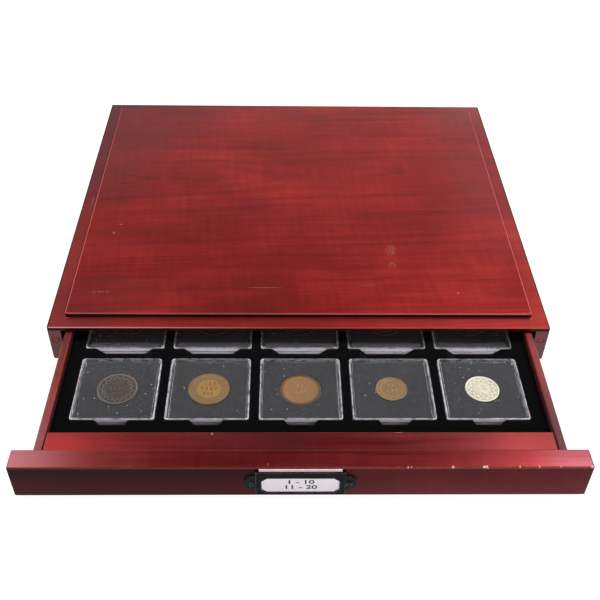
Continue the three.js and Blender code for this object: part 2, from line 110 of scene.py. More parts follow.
class Nodes:
    """A tree of shader nodes, and the ways to add to it."""

    def __init__(self, tree):
        self.tree = tree

    def fill(self, socket, value):
        if isinstance(value, Level):
            self.tree.links.new(value.socket, socket)
        else:
            socket.default_value = value

    def node(self, kind, settings=None, inputs=None, output=0):
        """Adds a node of any type: its settings first, then the values or links of its sockets."""
        node = self.tree.nodes.new(kind)
        for key, value in (settings or {}).items():
            if key == "stops":
                stops = node.color_ramp.elements
                while len(stops) < len(value):
                    stops.new(0.5)
                for stop, (place, colour) in zip(stops, value):
                    stop.position = place
                    stop.color = colour
            else:
                setattr(node, key, value)
        for key, value in (inputs or {}).items():
            self.fill(node.inputs[key], value)
        return Level(self, node.outputs[output])

    def place(self):
        """Where a point of the surface lies, in millimetres."""
        point = self.node("ShaderNodeTexCoord", output="Object")
        point = self.node("ShaderNodeVectorMath", {"operation": "SCALE"}, {0: point, "Scale": 1 / MM})
        parts = self.node("ShaderNodeSeparateXYZ", inputs={0: point}).socket.node
        x, y, z = [Level(self, output) for output in parts.outputs]
        return x, y + (MARK_FRONT - CASE_FRONT / MM), z

    def noise(self, x, y, z, detail=2.0, rough=0.5, twist=0.0):
        point = self.node("ShaderNodeCombineXYZ", inputs={0: x, 1: y, 2: z})
        inputs = {"Vector": point, "Scale": 1.0, "Detail": detail, "Roughness": rough, "Distortion": twist}
        return self.node("ShaderNodeTexNoise", inputs=inputs)

    def cells(self, x, y, z):
        """How far the nearest of many scattered points is."""
        point = self.node("ShaderNodeCombineXYZ", inputs={0: x, 1: y, 2: z})
        return self.node("ShaderNodeTexVoronoi", inputs={"Vector": point, "Scale": 1.0})

    def ease(self, value, low, high):
        """Rises smoothly from 0 at low to 1 at high."""
        settings = {"interpolation_type": "SMOOTHSTEP"}
        return self.node("ShaderNodeMapRange", settings, {0: value, 1: low, 2: high})

    def blend(self, share, first, second):
        """A colour between two; the Mix node's colours are its sockets 6 and 7, and its output 2."""
        return self.node("ShaderNodeMix", {"data_type": "RGBA"}, {0: share, 6: first, 7: second}, output=2)

    def ramp(self, share, stops):
        return self.node("ShaderNodeValToRGB", {"stops": stops}, {0: share})

    def bump(self, height, strength, distance):
        inputs = {"Height": height, "Strength": strength, "Distance": distance}
        return self.node("ShaderNodeBump", inputs=inputs)

    def arris(self):
        """The mark that each face of a piece carries."""
        return self.node("ShaderNodeAttribute", {"attribute_name": ARRIS}, output="Fac")

    def direct_rays(self):
        """1 for what the camera, a reflection or clear plastic shows, 0 for bounced light."""
        camera_rays = self.node("ShaderNodeLightPath", output="Is Camera Ray")
        outputs = camera_rays.socket.node.outputs
        glossy, through = [Level(self, outputs[name]) for name in ("Is Glossy Ray", "Is Transmission Ray")]
        return camera_rays.most(glossy).most(through)

    def show(self, share, first, second, target="Material Output"):
        """Links a mix of two shaders to the tree's output."""
        mixed = self.node("ShaderNodeMixShader", inputs={0: share, 1: first, 2: second})
        self.fill(self.tree.nodes[target].inputs[0], mixed)


class Finish(Nodes):
    """A procedural material with its main shader."""

    def __init__(self, name, constants=None):
        self.material = bpy.data.materials.new(name)
        self.material.use_nodes = True
        super().__init__(self.material.node_tree)
        self.shader = self.tree.nodes["Principled BSDF"]
        self.set(constants or {})

    def set(self, values):
        for key, value in values.items():
            self.fill(self.shader.inputs[key], value)

    def surface(self, colour, roughness, normal):
        """Sets the three values that every finish varies, and returns the finish."""
        self.set({"Base Color": colour, "Roughness": roughness, "Normal": normal})
        return self

    def mix_in(self, share, other):
        """Shows another shader where share is 1 and the main one where it is 0."""
        self.show(share, Level(self, self.shader.outputs[0]), other)


def size_of(level):
    """A level without its sign."""
    return (level * level).root()


def spot(finish, x, y, middle_x, middle_y, reach_x, reach_y):
    """A soft oval mark."""
    across = (x - middle_x) / reach_x
    along = (y - middle_y) / reach_y
    return finish.ease(across * across + along * along, 1.0, 0.25)


def cathedral(finish, x, y):
    """Growth rings of a flat-sawn board: nested tongues that close twice along its length."""
    wander = (finish.noise(x * 0.018, y * 0.035, 3.0, detail=2) - 0.5) * 16
    ripple = (finish.noise(x * 0.07, y * 0.12, 9.0, detail=2) - 0.5) * 2.4
    middle = 84.0 + (x + 13) * 0.055
    dip = ((x + 13) * (math.pi / 121.7)).least(math.pi).most(0.0).sine()
    depth = 19 + (x + 13).least(0.0) * 0.1 + (x - 108).most(0.0) * 0.1 - dip * 1.4
    across = y - middle + wander * 0.5
    rings = (across * across + depth * depth).root() + wander * 0.35 + ripple
    bands = finish.noise(rings * 0.21, x * 0.004, 1.0, detail=3, rough=0.6)
    lines = finish.noise(rings * 0.62, x * 0.006, 5.0, detail=2, rough=0.5)
    return bands, finish.ease(lines, 0.53, 0.68)


def stained_wood(name, dark, middle, light, grain="X", figured=False, rough=0.3, wear=0.2, marks=None,
                 streaky=0.35, gloss=0.12):
    """Satin stained hardwood with its grain along one direction."""
    finish = Finish(name, {"Metallic": 0.5, "Specular IOR Level": gloss})
    x, y, z = finish.place()
    along, across, depth = {"X": (x, y, z), "Y": (y, x, z)}[grain]
    bend = (finish.noise(along * 0.007, across * 0.02, depth * 0.02) - 0.5) * 14
    clouds = finish.noise(along * 0.014, across * 0.024, depth * 0.024, detail=3, rough=0.55)
    streaks = finish.noise(along * 0.011, (across + bend) * 0.26, depth * 0.26, detail=4, rough=0.6)
    pores = finish.noise(along * 0.09, (across + bend) * 2.6, depth * 2.6, detail=3, rough=0.65)
    curl = finish.noise(along * 0.3 + across * 0.03, across * 0.028, depth * 0.028, detail=1.5)
    level = 0.5 + (clouds - 0.5) * 0.8 + (streaks - 0.5) * streaky
    level = level + (pores - 0.5) * 0.36 + (curl - 0.5) * 0.26
    if figured:
        bands, lines = cathedral(finish, x, y)
        level = level + (bands - 0.5) * 0.4 - lines * 0.16
    colour = finish.ramp(level, [(0.12, tone(dark)), (0.5, tone(middle)), (0.88, tone(light))])
    chew = finish.noise(x * 0.4, y * 0.4, z * 0.4, detail=4, rough=0.7)
    bare = (finish.arris() * (finish.ease(chew, 0.46, 0.66) * wear + 0.12)).clamped()
    colour = finish.blend(bare, colour, tone("a4584c"))
    roughness = rough + (streaks - 0.5) * 0.2 + (clouds - 0.5) * 0.12 + bare * 0.15
    height = pores * 0.5 + streaks * 0.4 + chew * 0.15
    if marks:
        for tint, share in marks(finish, x, y, z):
            colour = finish.blend(share.clamped(), colour, tone(tint))
            roughness = roughness + share * 0.2
            height = height - share * 0.5
    return finish.surface(colour, roughness.clamped(), finish.bump(height, 0.35, 0.06 * MM))


def top_marks(finish, x, y, z):
    """The case top's wear, its uneven stain, and painted highlights, reflections and shade, as colours with
    their shares.
    """
    ease = finish.ease
    # Scuffs, scratches and specks
    grit = finish.noise(x * 1.6, y * 1.2, 0.0, detail=3, rough=0.7)
    dashes = ease(finish.noise(x * 0.5, y * 1.1, 4.0, detail=1), 0.48, 0.6)
    rub = ease(grit, 0.42, 0.62)
    scuffs = spot(finish, x, y, 65.5, -10, 4.5, 8.5).most(spot(finish, x, y, 65, -27, 3.5, 4.5))
    scuffs = scuffs * dashes * rub
    scratch = spot(finish, x, y, -22.5, -51, 14, 0.45).most(spot(finish, x, y, 46, -48.3, 8, 0.4) * 0.7)
    scratch = scratch.most(spot(finish, x, y, -133, -55.5, 10, 1.4) * dashes * 0.9)
    scratch = scratch * ease(grit, 0.3, 0.5)
    specks = spot(finish, x, y, -129.7, 19, 1.2, 0.8).most(spot(finish, x, y, -133.5, 9, 1, 1.4))
    specks = specks.most(spot(finish, x, y, 107, -56, 0.8, 0.7))
    specks = specks.most(spot(finish, x, y, -156, 52, 0.8, 7) * rub)
    # The board's front edge, darker stain with painted shade over it, and rubbed arrises
    front = ease(y, -86.4, -86.7)
    # painted shade over the darker stain of the board's front edge
    edge = ease(z, 29.75, 29.55) * front
    arris = ease(z, 29.65, 29.85) * front
    rubbed = arris * ease(x, 10.0, -150.0)
    side = size_of(x)
    outer = ease(side, 161.7, 162.4)
    # The raised field: its side arrises, worn and with a painted highlight, a painted highlight on its back
    # arris, painted shade on the riser of its front, and painted highlights on the lip and foot of its front
    above_border = ease(z, 30.2, 30.6)
    # the side arrises: lighter for wear, with a painted highlight
    line = ease(size_of(side - 152.7), 0.9, 0.4) * ease(y, 300.0, 60.0) * above_border
    # a painted highlight on the back arris
    back_rim_highlight = ease(size_of(y - 188.3), 0.9, 0.4) * above_border
    inside = ease(side, 153.2, 152.4)
    # painted shade on the front riser
    riser_shade = ease(z, 30.1, 30.4) * ease(z, 32.8, 32.5) * ease(y, -75.8, -76.3)
    # a painted highlight on the front lip
    lip_highlight = ease(z, 32.6, 32.85) * ease(y, -76.0, -76.4) * inside
    # a painted highlight along the foot of the front
    foot = ease(size_of(y + 77.5), 0.45, 0.2) * inside * ease(z, 30.5, 30.3)
    foot = foot * (ease(grit, 0.35, 0.55) * 0.5 + 0.3)
    # Broad lighter and darker parts: a warmer border towards the front, painted reflection haze at the back
    # and on the right, a painted pool of light on the right, and darker patches at the back left, along the
    # left border and at the front left
    border = ease(z, 32.6, 31.0)
    warm = border * ease(y, 120.0, -60.0)
    # painted reflection haze of the pale surroundings, growing towards the back and to the right
    haze = ease(y, 130.0, 199.0) * (ease(x, 100.0, 163.0) * 0.24 + 0.06)
    # painted reflection haze on the right
    right_haze_reflection = ease(x, 90.0, 155.0) * ease(y, -60.0, 60.0)
    dim = spot(finish, x, y, -170, 215, 110, 190) * 0.4 + border * ease(x, -60.0, -150.0) * 0.25
    dusk = spot(finish, x, y, -128, -60, 48, 27).most(spot(finish, x, y, -48, -58, 60, 26) * 0.5)
    # a painted pool of lamp light on the right
    glow = ease(x, -10.0, 80.0) * ease(x, 158.0, 110.0) * ease(y, 199.0, 90.0)
    return [("a03a32", warm * 0.2), ("b4302a", glow * 0.1), ("8a605c", haze), ("7a4a4e", right_haze_reflection * 0.22),
            ("46282c", dim), ("3c1014", dusk * 0.4), ("140202", edge * 0.85), ("d2605a", line * 0.6),
            ("9a5a50", back_rim_highlight * 0.45), ("180203", riser_shade * 0.9), ("b8645f", lip_highlight * 0.45 + foot),
            ("b0504c", arris * 0.45), ("dcaeb0", rubbed * 0.6), ("1c0a10", outer * 0.85),
            ("b98a7e", (scuffs * 0.55 + scratch * 0.3 + specks * 0.45).clamped())]


def side_marks(finish, x, y, z):
    """The greyer brown of the sides' front ends."""
    return [("7a5c5c", finish.ease(y, -86.3, -86.7) * 0.55)]


def drawer_side_marks(finish, x, y, z):
    """Painted reflection haze on the drawer sides near the front, and painted shade on the right side."""
    # painted shade over the right side
    right = finish.ease(x, 0.0, 80.0) * (finish.ease(y, -105.0, -165.0) * 0.5 + 0.12)
    # the first mark is painted reflection haze near the front
    return [("84646a", finish.ease(y, -120.0, -184.0) * 0.18), ("43282f", right)]


def rail_marks(finish, x, y, z):
    """The rail's painted lamp highlights at its ends, a patch of painted shade, a darker right end, and small
    chips on its inner edge.
    """
    ease = finish.ease
    upper = ease(z, 25.6, 26.4)
    grit = finish.noise(x * 1.9, y * 1.9, z * 1.9, detail=3, rough=0.7)
    chips = spot(finish, x, y, 56.3, -170.6, 2.6, 0.6).most(spot(finish, x, y, -51.5, -171.6, 0.6, 1.0))
    # painted lamp highlights at both ends
    warm = ease(x, 95.0, 146.0) * 0.22 + ease(x, -45.0, -146.0) * 0.36
    # painted shade left of the middle
    patch = spot(finish, x, y, -32, -177, 48, 14)
    dull = ease(x, 112.0, 150.0)
    return [("a82a26", warm * upper), ("3c1012", patch * upper * 0.4), ("5c2426", dull * upper * 0.4),
            ("d8aea6", chips * upper * ease(grit, 0.4, 0.54) * 0.75)]


FRONT_CHIPS = ((58.7, 0.5), (60.6, 0.25), (101.2, 1.1), (121, 0.4), (132, 0.4), (144, 0.2), (161.5, 0.9))


def front_marks(finish, x, y, z):
    """Chips along the drawer front's upper edge, painted highlights and reflection haze at its ends, a
    painted highlight along its upper lip, its darker face with painted shade on the left, and a greyer lower
    face.
    """
    ease = finish.ease
    grit = finish.noise(x * 1.9, y * 1.9, z * 1.9, detail=3, rough=0.7)
    near = ease(z, 28.2, 28.8) * ease(y, -196.0, -196.8)
    chips = spot(finish, x, z, 83.7, 29.0, 0.9, 0.5).most(spot(finish, x + z * 0.7, z, 123.1, 28.9, 0.7, 0.8))
    for place, reach in FRONT_CHIPS:
        chips = chips.most(spot(finish, x, z, place, 29.0, reach, 0.4))
    chips = chips * near * ease(grit, 0.38, 0.5)
    fleck = spot(finish, x, y, -18.8, -195.2, 0.5, 1.4) * ease(z, 28.4, 29.0)
    upper = ease(z, 28.5, 29.1)
    # painted reflection haze at the left end of the top
    haze = ease(x, -112.0, -163.0) * upper * 0.22
    # a painted mauve reflection at the right end of the top
    dull = ease(x, 124.0, 160.0) * upper
    # a painted highlight near the left end of the top
    warm = ease(x, -60.0, -120.0) * ease(x, -163.0, -120.0) * upper
    face = ease(y, -196.9, -197.5)
    # the face's darker stain, deeper towards the top, with painted shade over its left side
    shade = ease(x, 70.0, -50.0) * 0.54 + ease(z, 14.0, 26.0) * 0.22 + 0.24
    low = ease(z, 20.0, 6.0) * face * (ease(x, -20.0, 90.0) * 0.6 + 0.2)
    # a painted highlight just under the upper edge of the face
    lip_highlight = ease(size_of(z - 28.7), 0.5, 0.25) * ease(y, -196.3, -196.8)
    return [("b88a92", haze), ("a8524c", warm * 0.14), ("84505a", dull * 0.4), ("260507", face * shade),
            ("743c46", low * 0.3), ("b0605a", lip_highlight * 0.25), ("c0403c", fleck * 0.7), ("e8c8c0", chips * 0.85)]


def flock_finish():
    """Black flock: short fibres that drink the light, with a little lint."""
    finish = Finish("black_flock", {"Specular IOR Level": 0.03, "Sheen Weight": 0.02, "Sheen Roughness": 0.5})
    x, y, z = finish.place()
    nap = finish.noise(x * 3.2, y * 3.2, z * 3.2, detail=3, rough=0.7)
    brushed = finish.noise(x * 0.05, y * 0.05, z * 0.05, detail=2)
    lint = finish.ease(finish.cells(x * 0.11, y * 0.11, z * 0.11), 0.035, 0.012)
    colour = finish.blend(nap * 0.6 + brushed * 0.4, tone("020203"), tone("070708"))
    colour = finish.blend(lint * 0.15, colour, tone("8d8a86"))
    return finish.surface(colour, nap * 0.1 + 0.88, finish.bump(nap, 0.6, 0.25 * MM))


def felt_finish():
    """Dark wool felt."""
    finish = Finish("dark_felt", {"Specular IOR Level": 0.2, "Sheen Weight": 0.3})
    x, y, z = finish.place()
    fibres = finish.noise(x * 1.8, y * 1.8, z * 1.8, detail=4, rough=0.75, twist=0.6)
    colour = finish.blend(fibres, tone("121214"), tone("2e2e31"))
    return finish.surface(colour, fibres * 0.1 + 0.88, finish.bump(fibres, 0.7, 0.3 * MM))


def foam_finish():
    """Fine-celled grey foam with pale specks of dust."""
    finish = Finish("grey_foam", {"Specular IOR Level": 0.1})
    x, y, z = finish.place()
    cells = finish.cells(x * 2.6, y * 2.6, z * 2.6)
    grain = finish.noise(x * 1.1, y * 1.1, z * 1.1, detail=4, rough=0.7)
    dust = finish.ease(finish.cells(x * 0.2, y * 0.2, z * 0.2), 0.1, 0.05)
    motes = finish.ease(finish.cells(x * 0.75 + 9, y * 0.75, z * 0.75), 0.22, 0.1)
    colour = finish.blend((cells * 0.5 + grain * 0.9 - 0.2).clamped(), tone("1b1b1c"), tone("333234"))
    colour = finish.blend(dust * 0.55, colour, tone("c9c7c4"))
    colour = finish.blend(motes * 0.26, colour, tone("a9a8a8"))
    return finish.surface(colour, cells * 0.08 + 0.88, finish.bump(cells + grain, 0.5, 0.12 * MM))


def clear_finish():
    """Clear moulded plastic, with painted glints along its outer edges and its front and back walls."""
    finish = Finish("clear_plastic", {"Transmission Weight": 1.0, "IOR": 1.49, "Specular IOR Level": 0.5})
    x, y, z = finish.place()
    haze = finish.noise(x * 0.06, y * 0.06, z * 0.06, detail=3)
    draw = finish.noise(x * 0.04, y * 0.04, z * 1.6, detail=3, rough=0.6)
    swirl = finish.noise(x * 0.05 + 4, y * 0.05, z * 0.05, detail=2)
    colour = finish.blend(haze, tone("f4f6fa"), tone("ffffff"))
    finish.surface(colour, haze * 0.03 + 0.01, finish.bump(swirl, 0.12, 0.3 * MM))
    seam_z = CAPSULE_FOOT + 3.1
    upper = finish.ease(z, seam_z - 0.2, seam_z + 0.4)
    pale = finish.blend(upper, tone("f4e4e6"), tone("f8f5ff"))
    pale = finish.blend(finish.ease(draw, 0.62, 0.4) * 0.35, pale, tone("8a8494"))
    seam = finish.ease(size_of(z - seam_z), 0.45, 0.15)
    # this pale shader is painted light: glints and bright reflections in white and lilac bands, with darker
    # streaks and a dark line at the seam
    painted_glints = finish.node("ShaderNodeBsdfPrincipled", inputs={
        "Base Color": finish.blend(seam * 0.8, pale, tone("2c2830")),
        "Roughness": draw * 0.25 + 0.2,
        "Transmission Weight": 0.1,
    })
    streak = finish.noise(x * 0.16, y * 0.16, z * 0.5, detail=3, rough=0.6)
    # where the painted glints show: each face's mark, broken by streaks
    edge = finish.arris() * (finish.ease(streak, 0.38, 0.58) * 0.7 + 0.3)
    finish.mix_in(edge.clamped(), painted_glints)
    return finish


def coin_finish(name, field, high, patina, worn, design, metal=0.75, rough=0.42):
    """Struck metal, rubbed on the relief above its field, with one duller or brighter zone."""
    foot = CAPSULE_FOOT + FOAM_TOP - design["recess"] - FIELD_DEPTH - FIGURE_ROOT
    finish = Finish(name, {"Metallic": metal})
    x, y, z = finish.place()
    grit = finish.noise(x * 2.2, y * 2.2, z * 2.2, detail=4, rough=0.7)
    toning = finish.noise(x * 0.16, y * 0.16, 2.0, detail=3, rough=0.6)
    relief = finish.ease(z, foot, foot + 0.16)
    colour = finish.blend((toning - 0.5) * 1.8 + 0.5, tone(field), tone(patina))
    colour = finish.blend((relief * 0.7 + (grit - 0.5) * 0.4).clamped(), colour, tone(high))
    colour = finish.blend((finish.arris() * ((grit - 0.5) * 0.9 + 0.75)).clamped(), colour, tone(worn))
    roughness = rough + (grit - 0.5) * 0.3 - relief * 0.06
    return finish.surface(colour, roughness.clamped(), finish.bump(grit, 0.3, 0.05 * MM))


def black_metal_finish(name, dark, light, ear_highlight_tone):
    """Blackened sheet metal, lighter on its edges for rub wear and a painted highlight, with its ears made
    greyer by a painted highlight.
    """
    finish = Finish(name, {"Metallic": 0.1, "Specular IOR Level": 0.06})
    x, y, z = finish.place()
    skin = finish.noise(x * 1.5, y * 1.5, z * 1.5, detail=3, rough=0.6)
    chew = finish.noise(x * 0.5, y * 0.5, z * 0.5, detail=3)
    # lighter edges: rub wear with a painted highlight
    rub = finish.arris() * (finish.ease(chew, 0.42, 0.62) * 0.6 + 0.3)
    # a painted highlight that makes the ears greyer
    ear_highlight = finish.ease(size_of(x + 0.8), 25.2, 25.8)
    colour = finish.blend(skin, tone(dark), tone(light))
    colour = finish.blend(ear_highlight * 0.35, colour, tone(ear_highlight_tone))
    colour = finish.blend(rub * 0.4, colour, tone("77757a"))
    return finish.surface(colour, skin * 0.2 + 0.4, finish.bump(skin, 0.35, 0.05 * MM))


def card_finish():
    """White card, reddened along its upper edge."""
    finish = Finish("label_card", {"Specular IOR Level": 0.25})
    x, y, z = finish.place()
    fibres = finish.noise(x * 1.8, y * 1.8, z * 1.8, detail=4, rough=0.7)
    aged = finish.ease(z, 26.0, 27.2)
    colour = finish.blend(fibres, tone("f2e6f2"), tone("fffaff"))
    colour = finish.blend(aged * 0.7, colour, tone("e8b8b0"))
    return finish.surface(colour, fibres * 0.15 + 0.7, finish.bump(fibres, 0.3, 0.04 * MM))


def ink_finish():
    """Dark printing ink."""
    finish = Finish("dark_ink", {"Specular IOR Level": 0.3})
    x, y, z = finish.place()
    bleed = finish.noise(x * 4, y * 4, z * 4, detail=2)
    colour = finish.blend(bleed, tone("17151c"), tone("2b2832"))
    finish.set({"Base Color": colour, "Roughness": bleed * 0.2 + 0.5})
    return finish


def panel_finish():
    """Bare plywood and blocks inside the case."""
    finish = Finish("bare_panel", {"Specular IOR Level": 0.25})
    x, y, z = finish.place()
    veneer = finish.noise(x * 0.02, y * 0.3, z * 0.3, detail=4, rough=0.6)
    pores = finish.noise(x * 0.12, y * 2.2, z * 2.2, detail=3, rough=0.7)
    plies = finish.ease((z * 4.6).sine(), -0.2, 0.5) * 0.12
    level = veneer * 0.7 + pores * 0.3
    colour = finish.ramp(level, [(0.3, tone("6f5036")), (0.52, tone("94724f")), (0.75, tone("ad8c66"))])
    colour = finish.blend(plies, colour, tone("5d4129"))
    return finish.surface(colour, pores * 0.15 + 0.68, finish.bump(pores + veneer, 0.4, 0.08 * MM))


# Shapes

def block(bm, low, high):
    """A box between two corners, added to a mesh; returns its new vertices."""
    made = bmesh.ops.create_cube(bm, size=1)["verts"]
    bmesh.ops.scale(bm, vec=high - low, verts=made)
    bmesh.ops.translate(bm, vec=(low + high) / 2, verts=made)
    return made


def round_edges(bm, edges, radius, segments):
    """Rounds edges over."""
    bmesh.ops.bevel(bm, geom=edges, offset=radius, offset_type="OFFSET", segments=segments, profile=0.5,
                    affect="EDGES", material=-1, clamp_overlap=True)


def square_edges(bm, sharper_than=50):
    """The edges where two faces meet at more than an angle, in degrees."""
    bm.normal_update()
    limit = math.radians(sharper_than)
    return [e for e in bm.edges if len(e.link_faces) == 2 and e.calc_face_angle() > limit]


def eased_board(node, radius, segments=2):
    """A plain board of a CAD piece's size, with rounded edges."""
    bm = bmesh.new()
    block(bm, *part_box(node))
    round_edges(bm, bm.edges[:], radius, segments)
    return bm


def eased_copy(node, radius, angle=50):
    """A copy of a CAD piece, merged, with its square edges eased."""
    bm = bmesh.new()
    bm.from_mesh(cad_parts[node].data)
    bmesh.ops.remove_doubles(bm, verts=bm.verts, dist=0.002 * MM)
    bmesh.ops.dissolve_limit(bm, angle_limit=math.radians(1), verts=bm.verts, edges=bm.edges)
    round_edges(bm, square_edges(bm, angle), radius, 2)
    return bm


def square_loop(bm, half, radius, z, middle, segments):
    """A level loop of edges round a square with rounded corners."""
    corners = bmesh.ops.create_grid(bm, x_segments=1, y_segments=1, size=half)["verts"]
    made = bmesh.ops.bevel(bm, geom=corners, offset=radius, offset_type="OFFSET", segments=segments,
                           profile=0.5, affect="VERTICES", material=-1)
    sides = 4 * (segments + 1)
    face = next(f for f in bm.faces if len(f.verts) == sides and set(f.verts) & set(made["verts"]))
    edges = list(face.edges)
    bmesh.ops.translate(bm, vec=Vector((middle.x, middle.y, z)), verts=list(face.verts))
    bmesh.ops.delete(bm, geom=[face], context="FACES_ONLY")
    return edges


def round_loop(bm, radius, z, middle, segments):
    """A level circle of edges."""
    made = bmesh.ops.create_circle(bm, cap_ends=False, radius=radius, segments=segments)["verts"]
    bmesh.ops.translate(bm, vec=Vector((middle.x, middle.y, z)), verts=made)
    circle = set(made)
    return [edge for edge in bm.edges if circle.issuperset(edge.verts)]


def grow(bm, loop, middle, old, new):
    """Extrudes a level loop to its next half width, corner radius and height; returns the new loop."""
    made = bmesh.ops.extrude_edge_only(bm, edges=loop)["geom"]
    verts = {part for part in made if isinstance(part, bmesh.types.BMVert)}
    old_arm, new_arm = old[0] - old[1], new[0] - new[1]
    size = Matrix.Diagonal((new[1] / old[1], new[1] / old[1], 1, 1))
    sides = (-1, 1) if old_arm else (0,)
    for side_x in sides:
        for side_y in sides:
            corner = [v for v in verts
                      if (v.co.x - middle.x) * side_x >= 0 and (v.co.y - middle.y) * side_y >= 0]
            start = Vector((middle.x + side_x * old_arm, middle.y + side_y * old_arm, old[2]))
            end = Vector((middle.x + side_x * new_arm, middle.y + side_y * new_arm, new[2]))
            place = Matrix.Translation(end) @ size @ Matrix.Translation(-start)
            bmesh.ops.transform(bm, matrix=place, verts=corner)
    return [part for part in made if isinstance(part, bmesh.types.BMEdge) and set(part.verts) <= verts]


def stack(bm, middle, sizes, segments, start_cap=True, end_cap=True):
    """A wall through level loops, each a half width, corner radius and height, with closed ends.

    A loop whose half width is its corner radius is a circle. Returns the first and the last loop.
    """
    half, radius, z = sizes[0]
    if half == radius:
        first = round_loop(bm, radius, z, middle, segments)
    else:
        first = square_loop(bm, half, radius, z, middle, segments)
    last = first
    for old, new in zip(sizes, sizes[1:]):
        last = grow(bm, last, middle, old, new)
    if start_cap:
        bmesh.ops.contextual_create(bm, geom=first)
    if end_cap:
        bmesh.ops.contextual_create(bm, geom=last)
    return first, last


def turned(rings):
    """The sizes of a round stack from radii and heights."""
    return [(radius, radius, z) for radius, z in rings]


LEVEL = 0.995  # a face counts as square to an axis when its normal is at least this far along it


def arris_mark(face):
    """1 for the narrow faces of rounded edges."""
    return 1.0 if max(abs(part) for part in face.normal) < LEVEL else 0.0


def shell_mark(face, middle, gleam):
    """How much painted glint a capsule's face carries: the front walls most, then corners and outer edges."""
    corner, cavity, tongue = 23.0 * MM, 23.4 * MM, 24.4 * MM
    away = face.calc_center_median() - middle
    over_x, over_y = abs(away.x) - corner, abs(away.y) - corner
    at_corner = min(over_x, over_y) > 0
    reach = corner + (math.hypot(over_x, over_y) if at_corner else max(over_x, over_y))
    sideways = abs(face.normal.x) > 0.5
    upright = abs(face.normal.z) < 0.1
    if abs(face.normal.z) > LEVEL:
        return 0.0
    if reach < cavity:
        return 0.12 * gleam if sideways else 0.0
    if reach < tongue:
        return 0.5 * gleam if sideways else 0.0
    if upright and face.normal.y < -0.7:
        return 2.8
    if at_corner:
        return 2.0 * gleam
    if upright:
        return (0.35 if sideways else 0.15) * gleam
    return 0.8 * gleam


def zone_mark(face, middle, near, far):
    """1 for a coin's upper faces between two radii; near is 0 for the disc in its middle, one wide face."""
    disc_sides = 40
    away = face.calc_center_median() - middle
    inside = near < math.hypot(away.x, away.y) < far or near == 0 and len(face.verts) > disc_sides
    return 1.0 if face.normal.z > 0.3 and inside else 0.0


def finish_piece(name, bm, body, finish, replaces=(), sharp=35, marking=arris_mark):
    """Turns a mesh into a piece that rides on a body, has a named finish and replaces CAD nodes."""
    bmesh.ops.remove_doubles(bm, verts=bm.verts, dist=0.0005 * MM)
    bmesh.ops.recalc_face_normals(bm, faces=bm.faces)
    bm.normal_update()
    mark = bm.faces.layers.float.new(ARRIS)
    for face in bm.faces:
        face[mark] = marking(face)
    mesh = bpy.data.meshes.new(name)
    bm.to_mesh(mesh)
    bm.free()
    mesh.shade_smooth()
    mesh.set_sharp_from_angle(angle=math.radians(sharp))
    mesh.materials.append(finishes[finish].material)
    piece = bpy.data.objects.new(name, mesh)
    bpy.context.scene.collection.objects.link(piece)
    flat = piece.modifiers.new("even_faces", "WEIGHTED_NORMAL")
    flat.keep_sharp = True
    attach(piece, body)
    if replaces:
        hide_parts(*replaces)
    return piece


def text_mesh(words, size, depth, ease, swell=0.0):
    """A line of raised figures as a mesh, centred on the origin and facing up."""
    curve = bpy.data.curves.new("figure", "FONT")
    curve.body = words
    curve.size = size
    curve.offset = swell
    curve.extrude = depth / 2
    curve.bevel_depth = ease
    curve.bevel_resolution = 1
    curve.resolution_u = 4
    curve.align_x = "CENTER"
    curve.align_y = "CENTER"
    holder = bpy.data.objects.new("figure", curve)
    bpy.context.scene.collection.objects.link(holder)
    mesh = bpy.data.meshes.new_from_object(holder.evaluated_get(bpy.context.evaluated_depsgraph_get()))
    bpy.data.objects.remove(holder)
    bpy.data.curves.remove(curve)
    return mesh


def add_mesh(bm, mesh, matrix):
    """Adds a mesh at a place of its own, and drops it."""
    mesh.transform(matrix)
    bm.from_mesh(mesh)
    bpy.data.meshes.remove(mesh)


# Case

def top_board():
    """The case top: a border with a raised field and eased edges."""
    border, rise = 10.2 * MM, 3.0 * MM
    front_shift, back_shift = -0.2 * MM, -0.7 * MM
    low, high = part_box("case_top")
    middle = (low + high) / 2
    step = high.z - rise
    bm = bmesh.new()
    block(bm, low, Vector((high.x, high.y, step)))
    upper = max(bm.faces, key=lambda face: face.calc_center_median().z)
    bmesh.ops.inset_individual(bm, faces=[upper], thickness=border, use_even_offset=True)
    for side, shift in ((-1, front_shift), (1, back_shift)):
        moved = [v for v in upper.verts if (v.co.y - middle.y) * side > 0]
        bmesh.ops.translate(bm, vec=Vector((0, shift, 0)), verts=moved)
    bmesh.ops.inset_individual(bm, faces=[upper], thickness=0, depth=rise, use_even_offset=True)

    def upright_edges():
        return [e for e in bm.edges if abs(e.verts[0].co.z - e.verts[1].co.z) > MM]

    field_corners = [e for e in upright_edges() if max(v.co.z for v in e.verts) > step + 0.1 * MM]
    round_edges(bm, field_corners, 1.5 * MM, 4)
    board_corners = [e for e in upright_edges() if min(v.co.z for v in e.verts) < step - MM]
    round_edges(bm, board_corners, 0.8 * MM, 3)
    field_rim = [e for e in square_edges(bm) if min(v.co.z for v in e.verts) > high.z - 0.1 * MM]
    round_edges(bm, field_rim, 0.6 * MM, 3)
    board_rim = [e for e in square_edges(bm) if max(abs(v.co.z - step) for v in e.verts) < 0.01 * MM
                 and any(f.normal.z < 0.5 and f.calc_center_median().z < step for f in e.link_faces)]
    round_edges(bm, board_rim, 0.5 * MM, 3)
    return bm


def round_box(node):
    """The low and high corner, middle and radius of a round CAD piece."""
    low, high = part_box(node)
    return low, high, (low + high) / 2, (high.x - low.x) / 2


